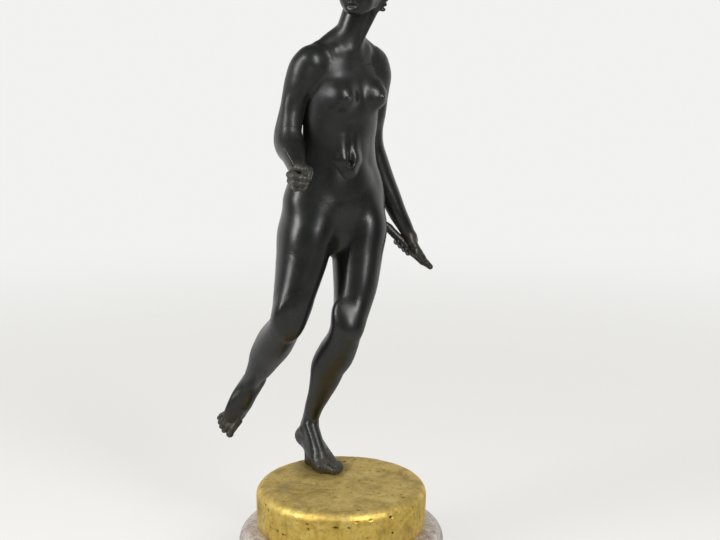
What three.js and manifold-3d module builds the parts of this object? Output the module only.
// A cast bronze figure of a huntress, stepping forward off one foot, on a gilt bronze base
// and a turned marble plinth. Millimetres, +Z up. The origin is on the axis of the plinth,
// on the under face of the felt pad. The figure was cast in sections that plug together.
import * as THREE from 'three';
import { mergeVertices } from 'three/addons/utils/BufferGeometryUtils.js';
import Module from 'manifold-3d';

const wasm = await Module();
wasm.setup();

// ---------------------------------------------------------------- driving dimensions

const GAP = 0.3;                  // air between pieces that meet
const FELT_THICKNESS = 2;
const FELT_RADIUS = 96;
const PLINTH_HEIGHT = 58;
const PLINTH_FOOT_RADIUS = 104;
const TORUS_CENTRE_RADIUS = 90.5; // the big rounded moulding round the top of the marble
const TORUS_RADIUS = 15.5;
const BASE_RADIUS = 88;           // gilt bronze base
const BASE_HEIGHT = 44;
const BASE_WALL = 4.5;
const BRONZE_WALL = 4;            // thickness of the hollow castings
const ROD_RADIUS = 4;             // M8 rod that draws the base down on the marble
const STUD_RADIUS = 3;            // M6 stud under the standing foot
const PIN_RADIUS = 1.5;           // cross pins that lock the sections of the figure

const MARBLE_FLOOR = FELT_THICKNESS + GAP;
const MARBLE_TOP = MARBLE_FLOOR + PLINTH_HEIGHT;
const BASE_FLOOR = MARBLE_TOP + GAP;
const BASE_TOP = BASE_FLOOR + BASE_HEIGHT;
const FIGURE_FLOOR = BASE_TOP + GAP;

// The figure faces this many degrees from -Y towards +X.
const HIP_TURN = 33;
const CHEST_TURN = 38;
const HEAD_TURN = -22;
const FOOT_TURN = 33;

// ---------------------------------------------------------------- sections of the figure
//
// Each row is one section of a limb: x, y, z of its centre (z above the top of the base),
// half the width, depth in front of the centre, depth behind it, and the way its front
// faces, in degrees from -Y towards +X.

const TORSO = [
  [-6, 42, 262, 42, 26, 34, 33],
  [-6, 42, 283, 55, 33, 42, 33],
  [-5, 41, 302, 53, 32, 38, 33],
  [-4, 39, 325, 45, 29, 31, 34],
  [-2, 37, 348, 40, 27, 27, 35],
  [0, 35, 368, 40, 28, 28, 36],
  [1, 33, 388, 42, 31, 30, 38],
  [0, 32, 408, 41, 28, 31, 39],
  [-1, 31, 423, 37, 23, 27, 40],
  [0, 30, 434, 29, 17, 21, 40],
  [3, 29, 443, 19, 14, 17, 38],
];

const NECK = [
  [1, 30, 430, 17, 15, 17, 30],
  [6, 27, 445, 16, 15, 16, 15],
  [11, 25, 459, 15, 15, 15.5, 0],
  [16.5, 22, 474, 14.8, 14.5, 16, -14],
  [20, 20, 488, 15, 14, 16.5, -19],
  [22, 19, 500, 16, 14, 17, -19],
];

const STANDING_LEG = [
  [14, 50, 284, 24, 28, 34, 33],
  [19, 48, 262, 27, 31, 35, 33],
  [17, 41, 235, 25, 29, 30, 33],
  [15, 30, 205, 22, 25, 25, 34],
  [12, 22, 186, 19.5, 21, 20.5, 34],
  [8, 13, 170, 17.5, 18, 17, 35],
  [5, 10, 158, 17, 16.5, 17, 35],
  [0, 15, 145, 16.5, 14.5, 19, 35],
  [-6, 24, 129, 19, 14.5, 22.5, 35],
  [-12, 31, 114, 18.5, 14.5, 22, 35],
  [-17, 39, 98, 16, 13.5, 18, 35],
  [-23, 47, 81, 12.5, 11.5, 13.5, 35],
  [-29, 54, 65, 10, 10, 11, 35],
  [-33, 60, 50, 8.8, 9, 9.5, 35],
  [-36, 65, 36, 9, 10, 11, 35],
];

const RAISED_LEG = [
  [-23, 30, 284, 24, 28, 34, 33],
  [-34, 22, 260, 27, 31, 36, 33],
  [-39, 17, 233, 25, 29, 31, 33],
  [-44, 10, 209, 22, 25, 26, 33],
  [-48, 5, 192, 20, 21.5, 22, 33],
  [-52, 3, 177, 18, 18, 18, 33],
  [-56, 6, 165, 17, 16.5, 17, 33],
  [-62, 18, 153, 17, 15, 20, 33],
  [-70, 36, 136, 18.5, 15, 23, 30],
  [-79, 54, 119, 17.5, 14.5, 21, 28],
  [-88, 72, 102, 14, 13, 16, 28],
  [-97, 88, 87, 10, 11, 12, 28],
  [-103, 100, 74, 9, 9.5, 10, 28],
];

const RIGHT_ARM = [
  [-27, 7, 428, 13, 13, 13.5, 40],
  [-35, 9, 417, 14.5, 15, 15, 40],
  [-43, 12, 402, 12.5, 14, 13.5, 40],
  [-47, 15, 384, 10.5, 12.5, 12, 40],
  [-51, 18, 366, 10, 11.5, 11.5, 40],
  [-54, 18, 352, 11, 11.5, 11.5, 40],
  [-53, 9, 343, 12.5, 12.5, 12.5, 40],
  [-50, -2, 340, 12.3, 12, 12, 40],
  [-47, -17, 336, 11, 10.5, 10.5, 40],
  [-43, -33, 331, 8.8, 8.4, 8.4, 40],
  [-39, -46, 327, 7.8, 6.8, 6.8, 40],
];

const LEFT_ARM = [
  [27, 52, 427, 13, 13, 13.5, 40],
  [33, 58, 416, 14.5, 15, 15, 40],
  [36, 64, 399, 12, 13.5, 13, 40],
  [35, 70, 377, 10.5, 12, 12, 40],
  [33, 75, 357, 9.8, 11, 11, 40],
  [34, 79, 340, 10.5, 10.5, 11, 40],
  [39, 81, 323, 12, 11, 12, 40],
  [46, 82, 304, 11.5, 11, 11.5, 40],
  [54, 82, 286, 10.8, 10.5, 10.5, 40],
  [61, 82, 270, 9.6, 9, 9, 40],
  [69, 83, 256, 8, 7, 7, 40],
  [75, 83, 243, 6.8, 5.5, 5.5, 40],
  [80, 83.5, 232, 7.5, 5, 5, 40],
];

// The feet run lengthwise: here the first half-size is the height and the two depths are
// the outer and the inner half of the width.
const STANDING_FOOT = [
  [-47, 83, 21, 9, 8, 8, 125],
  [-42, 75, 23, 11.5, 9, 9, 125],
  [-36, 65, 22, 12.5, 10, 10, 125],
  [-30, 56, 17, 11, 11, 11, 125],
  [-25, 47, 12.5, 9, 12, 12, 125],
  [-20, 38, 8.5, 7.5, 13.5, 13, 125],
  [-15, 30, 6.5, 5.8, 13, 12.5, 125],
];

const RAISED_FOOT = [
  [-93, 108, 80, 8, 7.5, 7.5, -62],
  [-98, 107, 73, 11, 9, 9, -62],
  [-105, 105, 63, 10.5, 10, 10, -62],
  [-111, 104, 53, 9, 11.5, 11, -62],
  [-118, 104, 42, 7.5, 13, 12.5, -62],
  [-124, 105, 32, 6, 12.5, 12, -62],
];

// ---------------------------------------------------------------- solids

function solidFrom(geometry) {
  geometry.deleteAttribute('normal');
  geometry.deleteAttribute('uv');
  const merged = mergeVertices(geometry, 1e-4);
  const vertProperties = Float32Array.from(merged.attributes.position.array);
  const triVerts = Uint32Array.from(merged.index.array);
  return new wasm.Manifold(new wasm.Mesh({ numProp: 3, vertProperties, triVerts }));
}

function point(x, y, z) {
  return new THREE.Vector3(x, y, z);
}

function facing(degrees) {
  const turn = THREE.MathUtils.degToRad(degrees);
  return point(Math.sin(turn), -Math.cos(turn), 0);
}

function leftOf(degrees) {
  return facing(degrees + 90);
}

// A point given from a centre by how far it lies to the figure's left, ahead and up.
function offset(centre, turn, left, ahead, up = 0) {
  const place = point(...centre);
  place.addScaledVector(leftOf(turn), left);
  place.addScaledVector(facing(turn), ahead);
  place.z += up;
  return place.toArray();
}

// Smooth values between the rows of a section table, by Catmull-Rom.
function rowAt(rows, s) {
  const last = rows.length - 1;
  const i = Math.min(Math.floor(s), last - 1);
  const t = s - i;
  const before = rows[Math.max(i - 1, 0)];
  const after = rows[Math.min(i + 2, last)];
  return rows[i].map((b, k) => {
    const a = before[k];
    const c = rows[i + 1][k];
    const d = after[k];
    const cubic = 3 * b - a - 3 * c + d;
    const square = 2 * a - 5 * b + 4 * c - d;
    return 0.5 * (2 * b + (c - a) * t + square * t * t + cubic * t * t * t);
  });
}

// A closed body through the rows: each ring is half an ellipse ahead and half behind.
// grow moves the skin outwards, or inwards where it is negative.
function loft(rows, sides, steps, grow = 0) {
  const geometry = new THREE.SphereGeometry(1, sides, steps + 2);
  const stations = [];
  for (let i = 0; i <= steps; i += 1) {
    stations.push(rowAt(rows, (i * (rows.length - 1)) / steps));
  }
  const centres = stations.map((row) => point(row[0], row[1], row[2]));
  const frames = centres.map((centre, i) => {
    const along = centres[Math.min(i + 1, steps)].clone();
    along.sub(centres[Math.max(i - 1, 0)]).normalize();
    const front = facing(stations[i][6]);
    front.addScaledVector(along, -front.dot(along)).normalize();
    return { along, front, side: front.clone().cross(along) };
  });
  const position = geometry.attributes.position;
  const perRing = sides + 1;
  for (let v = 0; v < position.count; v += 1) {
    const ring = Math.floor(v / perRing);
    const i = THREE.MathUtils.clamp(ring - 1, 0, steps);
    const { along, front, side } = frames[i];
    const [, , , width, ahead, behind] = stations[i];
    const angle = ((v % perRing) / sides) * Math.PI * 2;
    const spot = centres[i].clone();
    if (ring === 0 || ring === steps + 2) {
      const dome = 0.45 * Math.min(width, ahead, behind) + grow;
      spot.addScaledVector(along, ring === 0 ? -dome : dome);
    } else {
      const across = Math.cos(angle);
      const depth = Math.sin(angle);
      spot.addScaledVector(side, -across * (width + grow));
      spot.addScaledVector(front, depth * ((depth > 0 ? ahead : behind) + grow));
    }
    position.setXYZ(v, spot.x, spot.y, spot.z);
  }
  return solidFrom(geometry);
}

// An egg with its three half-sizes left, ahead and up, turned about Z.
function egg(centre, [left, ahead, up], turn = 0, sides = 12) {
  const geometry = new THREE.SphereGeometry(1, sides, Math.round(sides * 0.6));
  geometry.rotateX(Math.PI / 2);
  geometry.scale(left, ahead, up);
  geometry.rotateZ(THREE.MathUtils.degToRad(turn));
  geometry.translate(...centre);
  return solidFrom(geometry);
}

// A round-ended rod that tapers from radius a to radius b.
function finger(start, end, a, b = a, sides = 6) {
  const geometry = new THREE.SphereGeometry(1, sides, 3);
  const from = point(...start);
  const to = point(...end);
  const along = to.clone().sub(from).normalize();
  const turn = new THREE.Quaternion().setFromUnitVectors(point(0, 1, 0), along);
  const position = geometry.attributes.position;
  for (let v = 0; v < position.count; v += 1) {
    const spot = point(position.getX(v), position.getY(v), position.getZ(v));
    const atEnd = spot.y > 0;
    spot.applyQuaternion(turn).multiplyScalar(atEnd ? b : a).add(atEnd ? to : from);
    position.setXYZ(v, spot.x, spot.y, spot.z);
  }
  return solidFrom(geometry);
}

// A straight round bar with flat ends.
function bar(start, end, radius, sides = 16) {
  const from = point(...start);
  const to = point(...end);
  const geometry = new THREE.CylinderGeometry(radius, radius, from.distanceTo(to), sides);
  const along = to.clone().sub(from).normalize();
  geometry.applyQuaternion(new THREE.Quaternion().setFromUnitVectors(point(0, 1, 0), along));
  geometry.translate(...from.add(to).multiplyScalar(0.5).toArray());
  return solidFrom(geometry);
}

// A block whose inner face lies on the plane at start, standing out along a direction.
function block(start, along, width, depth) {
  const geometry = new THREE.BoxGeometry(width, depth, width);
  geometry.translate(0, depth / 2, 0);
  const turn = new THREE.Quaternion().setFromUnitVectors(point(0, 1, 0), along);
  geometry.applyQuaternion(turn);
  geometry.translate(...start);
  return solidFrom(geometry);
}

// A body turned about the vertical axis; the outline is a list of [radius, height].
function turned(outline, segments, x = 0, y = 0) {
  const profile = outline.map(([radius, height]) => new THREE.Vector2(radius, height));
  const geometry = new THREE.LatheGeometry(profile, segments);
  geometry.rotateX(Math.PI / 2);
  geometry.translate(x, y, 0);
  return solidFrom(geometry);
}

function ringOf(outer, inner, low, high, segments = 32, x = 0, y = 0) {
  const outline = [[inner, low], [outer, low], [outer, high], [inner, high], [inner, low]];
  return turned(outline, segments, x, y);
}

function arc(radius, height, size, from, to, steps) {
  const points = [];
  for (let i = 0; i <= steps; i += 1) {
    const angle = THREE.MathUtils.degToRad(from + ((to - from) * i) / steps);
    points.push([radius + size * Math.cos(angle), height + size * Math.sin(angle)]);
  }
  return points;
}

function joined(solids) {
  return solids.reduce((whole, solid) => whole.add(solid));
}

function along(start, direction, distance) {
  return point(...start).addScaledVector(direction, distance).toArray();
}

const statuette = new THREE.Group();

function keep(name, solid, material) {
  const mesh = solid.getMesh();
  const geometry = new THREE.BufferGeometry();
  const vertices = Float32Array.from(mesh.vertProperties);
  geometry.setAttribute('position', new THREE.BufferAttribute(vertices, 3));
  geometry.setIndex(new THREE.BufferAttribute(Uint32Array.from(mesh.triVerts), 1));
  geometry.computeVertexNormals();
  const piece = new THREE.Mesh(geometry, material);
  piece.name = name;
  statuette.add(piece);
  return piece;
}

// ---------------------------------------------------------------- materials

function metal(color, roughness) {
  return new THREE.MeshStandardMaterial({ color, roughness, metalness: 1 });
}

function plain(color, roughness) {
  return new THREE.MeshStandardMaterial({ color, roughness, metalness: 0 });
}

const patinatedBronze = metal(0x2b2c28, 0.35);
const giltBronze = metal(0xa8924a, 0.45);
const brass = metal(0xa88a4a, 0.4);
const steel = metal(0x8b8d90, 0.4);
const veinedMarble = plain(0xb9a79c, 0.35);
const baizeFelt = plain(0x24402e, 0.95);

// ---------------------------------------------------------------- the figure in the round

const PELVIS = [-6, 42, 268];
const CHEST = [1, 33, 397];
const SKULL = [22, 17, 508.5];

function buttocks(grow) {
  return [-24, 23].map((left) => {
    const size = [25 + grow, 24 + grow, 27 + grow];
    return egg(offset(PELVIS, HIP_TURN, left, -22), size, HIP_TURN, 12);
  });
}

function breasts(grow) {
  return [-22, 22].map((left) => {
    const size = [15 + grow, 17 + grow, 15 + grow];
    return egg(offset(CHEST, CHEST_TURN, left, 25), size, CHEST_TURN, 10);
  });
}

function wholeBody(grow = 0) {
  return joined([
    loft(TORSO, 16, 16, grow),
    loft(NECK, 12, 5, grow),
    ...buttocks(grow),
    ...breasts(grow),
  ]);
}

function wholeHead() {
  const at = (left, ahead, up) => offset(SKULL, HEAD_TURN, left, ahead, up);
  const brow = egg(at(0, 6, 0), [22, 24, 25], HEAD_TURN, 14);
  const jaw = egg(at(0, 12, -17), [17, 17, 19], HEAD_TURN, 12);
  const hair = egg(at(0, -4, 5), [26, 29, 25], HEAD_TURN, 16);
  const bun = egg(at(0, -33, -4), [13, 13, 12], HEAD_TURN, 12);
  const nose = finger(at(0, 28.5, 2), at(0, 31.5, -9), 1.8, 2.8, 8);
  const chin = egg(at(0, 22.5, -28), [7.5, 6, 6], HEAD_TURN, 10);
  const ears = [-22, 22].map((left) => egg(at(left, 0, -7), [3, 5, 8], HEAD_TURN, 10));
  return joined([brow, jaw, hair, bun, nose, chin, ...ears]);
}

// Five toes from the ball of the foot: the big toe is on the inner side.
function toes(roots, tips) {
  return roots.map((root, i) => {
    const size = i === 0 ? 4.8 : 3.7 - 0.2 * i;
    return finger(root, tips[i], size + 0.4, size, i === 0 ? 9 : 7);
  });
}

function standingFoot() {
  const roots = [[-19, 29, 5.6], [-14, 32, 5.2], [-10, 35, 5], [-7, 39, 4.6], [-5, 43, 4.2]];
  const tips = [[-11, 20, 5], [-5.5, 24, 3.9], [-2, 29, 3.8], [-0.5, 34.5, 3.6], [-0.5, 40, 3.4]];
  const support = loft([
    [-30, 55, 0.1, 7, 7, 7, 125],
    [-31, 56, 8, 8, 8, 8, 125],
    [-32, 58, 18, 8, 8, 8, 125],
  ], 12, 4);
  const foot = joined([loft(STANDING_FOOT, 12, 9), ...toes(roots, tips), support]);
  return foot.subtract(block([-25, 50, 0], point(0, 0, -1), 200, 40));
}

function raisedFoot() {
  const roots = [[-115, 103, 34], [-120, 104, 34], [-125, 105.5, 35], [-129, 107, 37], [-132, 108, 40]];
  const tips = [[-126, 103, 17], [-133, 106, 20], [-135.5, 107.5, 24.5], [-137, 109, 29], [-138, 110, 33]];
  return joined([loft(RAISED_FOOT, 12, 8), ...toes(roots, tips)]);
}

function rightHand() {
  const palm = egg([-35.5, -56, 323.5], [7.5, 10, 9.5], 0, 12);
  const knuckles = [
    [[-29, -62, 331], [-25.5, -66, 325], [-31, -69, 321]],
    [[-30, -62, 326], [-26, -67, 320], [-32, -70, 317]],
    [[-31, -60, 320], [-28, -65, 315.5], [-34, -68, 313.5]],
    [[-33, -57, 315], [-31, -62, 312], [-36, -66, 312.5]],
  ];
  const fingers = knuckles.flatMap(([root, bend, tip]) => [
    finger(root, bend, 3.4, 3),
    finger(bend, tip, 3, 2.6),
  ]);
  const thumb = [finger([-40, -50, 325], [-41, -60, 320], 4.2, 3.4)];
  thumb.push(finger([-41, -60, 320], [-37, -69, 324], 3.4, 2.8));
  return joined([palm, ...fingers, ...thumb]);
}

function leftHand() {
  const palm = egg([81, 84, 227], [7, 9, 10.5], 0, 12);
  const knuckles = [
    [[88, 84, 223], [84, 78, 216.5], [76, 76, 220.5]],
    [[86, 84, 218.5], [80, 77.5, 214.5], [73, 76, 221]],
    [[82, 85, 215.5], [76, 78, 215], [69, 77, 223]],
    [[78, 86, 216], [71.5, 79, 218], [65, 78, 226]],
  ];
  const fingers = knuckles.flatMap(([root, bend, tip]) => [
    finger(root, bend, 3.4, 3.1),
    finger(bend, tip, 3.1, 2.7),
  ]);
  const thumb = [finger([77, 79, 236], [72, 76, 230], 4, 3.3)];
  thumb.push(finger([72, 76, 230], [77, 73.5, 222], 3.3, 2.8));
  return joined([palm, ...fingers, ...thumb]);
}

// ---------------------------------------------------------------- joints between sections

// Where each section is parted from the body, and the way it leaves.
const SPOUT = 8;
const NECK_SPOUT = 11;
const THIGH_SPOUT = 15;
const SHOULDER_PLUG = 6;
const neckJoint = { at: [7, 26.5, 447], way: point(0.31, -0.17, 0.93).normalize() };
const rightShoulder = { at: [-20, 9, 420], way: point(-0.72, -0.6, 0.18).normalize() };
const leftShoulder = { at: [22, 50, 420], way: point(0.72, 0.6, 0.18).normalize() };
const standingThigh = { at: [16, 36, 222], way: point(-0.12, -0.33, -0.94).normalize() };
const raisedThigh = { at: [-41, 14, 222], way: point(-0.2, -0.27, -0.94).normalize() };

function span(joint, from, to, radius) {
  return bar(along(joint.at, joint.way, from), along(joint.at, joint.way, to), radius, 10);
}

// A ring that stands out of the joint face, on a collar that closes the hollow round it.
function spout(joint, collar, outer, inner) {
  const ring = span(joint, -6, -0.01, collar).add(span(joint, -6, SPOUT, outer));
  return ring.subtract(span(joint, -9, SPOUT + 3, inner));
}

function beyond(joint, clearance, width, depth) {
  return block(along(joint.at, joint.way, clearance), joint.way, width, depth);
}

function before(joint, clearance, width, depth) {
  const back = joint.way.clone().negate();
  return block(along(joint.at, joint.way, clearance), back, width, depth);
}

// A pin runs in from the skin at the back, across the plug of the joint.
function pinLine(joint, depth, turn, from, to) {
  const middle = along(joint.at, joint.way, depth);
  return [along(middle, facing(turn), from), along(middle, facing(turn), to)];
}

const pins = {
  neck_pin: pinLine(neckJoint, SPOUT / 2, 205, 7, 15.5),
  right_shoulder_pin: pinLine(rightShoulder, -6, 218, 0, 15),
  left_shoulder_pin: pinLine(leftShoulder, -6, 218, 0, 15),
  right_thigh_pin: pinLine(raisedThigh, SPOUT / 2, HIP_TURN + 180, 11, 25.5),
  left_thigh_pin: pinLine(standingThigh, SPOUT / 2, HIP_TURN + 180, 11, 25),
};

function pinHole(name) {
  const [start, end] = pins[name];
  const direction = point(...end).sub(point(...start)).normalize();
  const reach = along(end, direction, 12);
  return bar(along(start, direction, -GAP), reach, PIN_RADIUS + GAP, 10);
}

function torsoCasting() {
  const thighs = joined([
    loft(STANDING_LEG.slice(0, 5), 14, 7),
    loft(RAISED_LEG.slice(0, 5), 14, 7),
  ]);
  const hollow = joined([
    loft(TORSO, 12, 10, -BRONZE_WALL),
    loft(STANDING_LEG.slice(0, 5), 10, 5, -BRONZE_WALL),
    loft(RAISED_LEG.slice(0, 5), 10, 5, -BRONZE_WALL),
  ]);
  let body = wholeBody().add(thighs).subtract(hollow);
  body = body.subtract(beyond(neckJoint, 0, 90, 90));
  body = body.subtract(beyond(rightShoulder, 0, 58, 60));
  body = body.subtract(beyond(leftShoulder, 0, 58, 60));
  body = body.subtract(beyond(standingThigh, 0, 57, 60));
  body = body.subtract(beyond(raisedThigh, 0, 57, 60));
  body = body.subtract(span(neckJoint, -18, 1, NECK_SPOUT - 2.5));
  body = body.add(spout(neckJoint, NECK_SPOUT + 1, NECK_SPOUT, NECK_SPOUT - 2.5));
  body = body.add(spout(standingThigh, 21, THIGH_SPOUT, THIGH_SPOUT - 3));
  body = body.add(spout(raisedThigh, 21, THIGH_SPOUT, THIGH_SPOUT - 3));
  [rightShoulder, leftShoulder].forEach((joint) => {
    body = body.add(span(joint, -13, -0.01, 10));
    body = body.subtract(span(joint, -20, 5, SHOULDER_PLUG + GAP));
  });
  Object.keys(pins).forEach((name) => {
    body = body.subtract(pinHole(name));
  });
  return body;
}

function armCasting(rows, hand, joint, held, pin) {
  let arm = loft(rows, 12, 2 * rows.length - 4).add(hand);
  arm = arm.subtract(before(joint, GAP, 58, 60));
  const flank = loft(TORSO, 16, 16, GAP).subtract(beyond(joint, GAP, 58, 60));
  arm = arm.subtract(flank);
  arm = arm.add(span(joint, -11, 4, SHOULDER_PLUG));
  return arm.subtract(held).subtract(pinHole(pin));
}

function legCasting(rows, foot, joint, hollowRows, pin) {
  let leg = loft(rows, 14, 2 * rows.length - 4).subtract(before(joint, GAP, 90, 120));
  leg = leg.add(foot);
  leg = leg.subtract(loft(hollowRows, 10, hollowRows.length + 2, -BRONZE_WALL));
  leg = leg.subtract(span(joint, -4, SPOUT + 7, THIGH_SPOUT + GAP));
  return leg.subtract(pinHole(pin));
}

function headCasting() {
  const at = (left, ahead, up) => offset(SKULL, HEAD_TURN, left, ahead, up);
  const inside = egg(at(0, 2, 2), [19, 21, 19], HEAD_TURN, 12);
  let head = loft(NECK, 12, 5).add(wholeHead());
  head = head.subtract(before(neckJoint, GAP, 90, 90)).subtract(inside);
  head = head.subtract(span(neckJoint, -4, 52, NECK_SPOUT + GAP));
  return head.subtract(pinHole('neck_pin'));
}

// ---------------------------------------------------------------- what the hands hold

function arrowStub(grow = 0) {
  return finger([-34, -63, 318.5], [-51, -60.5, 350.5], 1.5 + grow, 0.7 + grow, 10);
}

function bowFragment(grow = 0) {
  const rows = [
    [48.5, 84, 257, 3.2, 3.2, 3.2, 0],
    [54, 83.5, 250, 3.4, 3.4, 3.4, 0],
    [63, 82, 240, 3.6, 3.6, 3.6, 0],
    [74, 80.5, 228.5, 3.3, 3.3, 3.3, 0],
    [85, 81, 219.5, 2.9, 2.9, 2.9, 0],
    [95, 83, 211.5, 2.4, 2.4, 2.4, 0],
  ];
  return loft(rows, 10, 10, grow);
}

// ---------------------------------------------------------------- base and plinth

function giltBase() {
  const edge = 11;
  const outline = [
    [0, BASE_FLOOR + BASE_HEIGHT - BASE_WALL],
    [BASE_RADIUS - edge, BASE_FLOOR + BASE_HEIGHT - BASE_WALL],
    [BASE_RADIUS - BASE_WALL, BASE_FLOOR + BASE_HEIGHT - edge],
    [BASE_RADIUS - BASE_WALL - 0.5, BASE_FLOOR + 4],
    [BASE_RADIUS - BASE_WALL - 2, BASE_FLOOR],
    [BASE_RADIUS - 2.5, BASE_FLOOR],
    [BASE_RADIUS - 0.4, BASE_FLOOR + 4],
    ...arc(BASE_RADIUS - edge, BASE_TOP - edge, edge, 0, 90, 4),
    [0, BASE_TOP],
  ];
  const shell = turned(outline, 44);
  const boss = bar([0, 0, BASE_TOP - 2], [0, 0, BASE_TOP - 18], 11, 20);
  const thread = bar([0, 0, BASE_TOP - 8], [0, 0, BASE_TOP - 30], ROD_RADIUS + GAP);
  const [x, y] = STUD_AT;
  const hole = bar([x, y, BASE_TOP - 20], [x, y, BASE_TOP + 5], STUD_RADIUS + GAP);
  return shell.add(boss).subtract(thread).subtract(hole);
}

const STUD_AT = [-28, 52];
const RECESS_RADIUS = 18;
const RECESS_HEIGHT = 16;

function marblePlinth() {
  const torusHeight = MARBLE_TOP - TORUS_RADIUS;
  const neckRadius = 88;
  const outline = [
    [0, MARBLE_FLOOR],
    [PLINTH_FOOT_RADIUS - 2, MARBLE_FLOOR],
    [PLINTH_FOOT_RADIUS, MARBLE_FLOOR + 2],
    [PLINTH_FOOT_RADIUS, MARBLE_FLOOR + 14],
    [PLINTH_FOOT_RADIUS - 1.5, MARBLE_FLOOR + 15.5],
    ...arc(neckRadius + 11, MARBLE_FLOOR + 25, 9.5, 270, 180, 3),
    [neckRadius + 1.5, torusHeight - TORUS_RADIUS],
    ...arc(TORUS_CENTRE_RADIUS, torusHeight, TORUS_RADIUS, -80, 90, 8),
    [0, MARBLE_TOP],
  ];
  const body = turned(outline, 44);
  const bore = bar([0, 0, 0], [0, 0, MARBLE_TOP + 5], ROD_RADIUS + 1, 12);
  const recess = bar([0, 0, 0], [0, 0, MARBLE_FLOOR + RECESS_HEIGHT], RECESS_RADIUS, 24);
  return body.subtract(bore).subtract(recess);
}

function hexNut(centre, low, high, acrossFlats, bore) {
  const [x, y] = centre;
  const radius = acrossFlats / Math.sqrt(3);
  const nut = bar([x, y, low], [x, y, high], radius, 6);
  return nut.subtract(bar([x, y, low - 1], [x, y, high + 1], bore));
}

// ---------------------------------------------------------------- the pieces

keep('head_casting', headCasting(), patinatedBronze);
keep('torso_casting', torsoCasting(), patinatedBronze);
keep('right_arm_casting',
  armCasting(RIGHT_ARM, rightHand(), rightShoulder, arrowStub(GAP), 'right_shoulder_pin'),
  patinatedBronze);
keep('left_arm_casting',
  armCasting(LEFT_ARM, leftHand(), leftShoulder, bowFragment(GAP), 'left_shoulder_pin'),
  patinatedBronze);
keep('right_leg_casting',
  legCasting(RAISED_LEG, raisedFoot(), raisedThigh, RAISED_LEG.slice(3, 11), 'right_thigh_pin'),
  patinatedBronze);

const [studX, studY] = STUD_AT;
const studTop = FIGURE_FLOOR + 14;
const standingLeg = legCasting(STANDING_LEG, standingFoot(), standingThigh,
  STANDING_LEG.slice(3, 12), 'left_thigh_pin');
const tapped = bar([studX, studY, -5], [studX, studY, 14 + GAP], STUD_RADIUS + GAP);
keep('left_leg_casting', standingLeg.subtract(tapped), patinatedBronze);
keep('arrow_stub', arrowStub(), patinatedBronze);
keep('bow_fragment', bowFragment(), patinatedBronze);
Object.entries(pins).forEach(([name, [start, end]]) => {
  keep(name, bar(start, end, PIN_RADIUS, 10), brass);
});
statuette.children.forEach((piece) => {
  piece.position.z = FIGURE_FLOOR;
});

keep('gilt_base', giltBase(), giltBronze);

const underTop = BASE_TOP - BASE_WALL;
keep('foot_stud', bar([studX, studY, underTop - 12], [studX, studY, studTop], STUD_RADIUS), steel);
keep('foot_washer',
  ringOf(9, STUD_RADIUS + GAP, underTop - GAP - 1.6, underTop - GAP, 20, studX, studY), steel);
keep('foot_nut',
  hexNut(STUD_AT, underTop - 7.2, underTop - 2.2, 10, STUD_RADIUS + GAP), steel);

keep('marble_plinth', marblePlinth(), veinedMarble);

const rodLow = MARBLE_FLOOR + 2;
const seat = MARBLE_FLOOR + RECESS_HEIGHT;
keep('tie_rod', bar([0, 0, rodLow], [0, 0, BASE_TOP - 8.5], ROD_RADIUS), steel);
keep('tie_washer', ringOf(15, ROD_RADIUS + GAP, seat - GAP - 2.5, seat - GAP, 24), steel);
keep('tie_nut', hexNut([0, 0], seat - 9.6, seat - 3.1, 13, ROD_RADIUS + GAP), steel);

keep('felt_pad', turned([
  [0, 0], [FELT_RADIUS, 0], [FELT_RADIUS, FELT_THICKNESS], [0, FELT_THICKNESS],
], 48), baizeFelt);

export default statuette;
